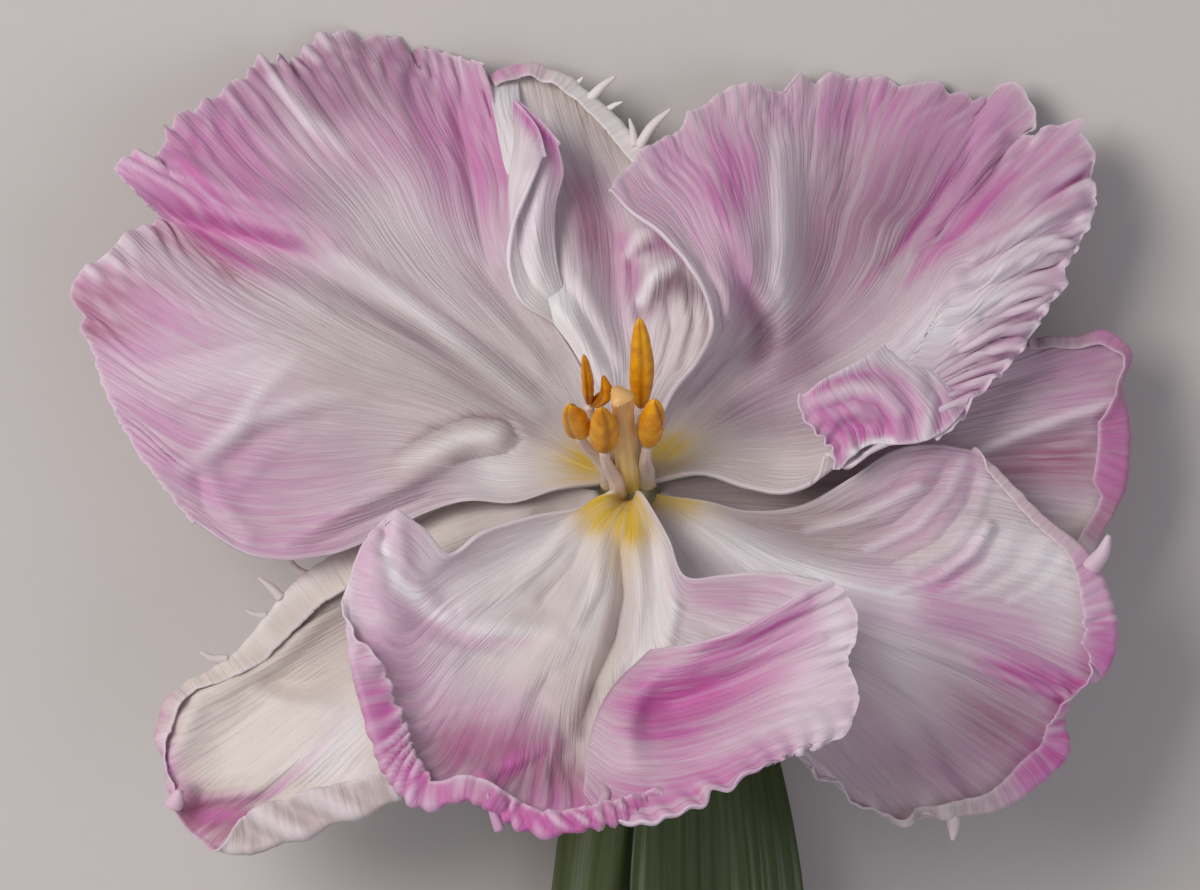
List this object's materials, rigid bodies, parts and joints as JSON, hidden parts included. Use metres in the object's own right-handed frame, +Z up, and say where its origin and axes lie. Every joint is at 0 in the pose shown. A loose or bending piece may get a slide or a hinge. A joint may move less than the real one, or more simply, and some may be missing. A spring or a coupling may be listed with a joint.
{
  "type": "parrot tulip",
  "caption": "Cut parrot tulip, fully open, lying on its curved stem with the fringed and flamed bloom turned up and two clasping leaves.",
  "frame": {"origin": "on the surface that the flower lies on, under the middle of its outline seen from above", "axes": "+Z up from the surface, +Y along the stem towards the bloom, +X to the bloom's right seen from above with the bloom at the top"},
  "size_m": [0.1252, 0.3442, 0.057],
  "materials": {
    "tepal": "soft satin living petal, cream at the foot, orchid pink and magenta flames at the rim",
    "filament": "smooth, moist",
    "anther": "dry, dusted with golden pollen",
    "pistil": "smooth satin",
    "stem": "smooth green stalk with a light bloom",
    "leaf": "satin green with fine parallel veins"
  },
  "bodies": {
    "root": {"tepal_upper_left": "tepal", "tepal_top_centre": "tepal", "tepal_upper_right": "tepal", "tepal_right_behind": "tepal", "tepal_lower_right": "tepal", "tepal_bottom_front": "tepal", "tepal_lower_left": "tepal", "filament_left": "filament", "filament_upper_left": "filament", "filament_upper": "filament", "filament_upper_right": "filament", "filament_right": "filament", "filament_lower_left": "filament", "anther_left": "anther", "anther_upper_left": "anther", "anther_upper": "anther", "anther_upper_right": "anther", "anther_right": "anther", "anther_lower_left": "anther", "pistil": "pistil", "stem": "stem", "upper_leaf": "leaf", "lower_leaf": "leaf"}
  },
  "joints": []
}
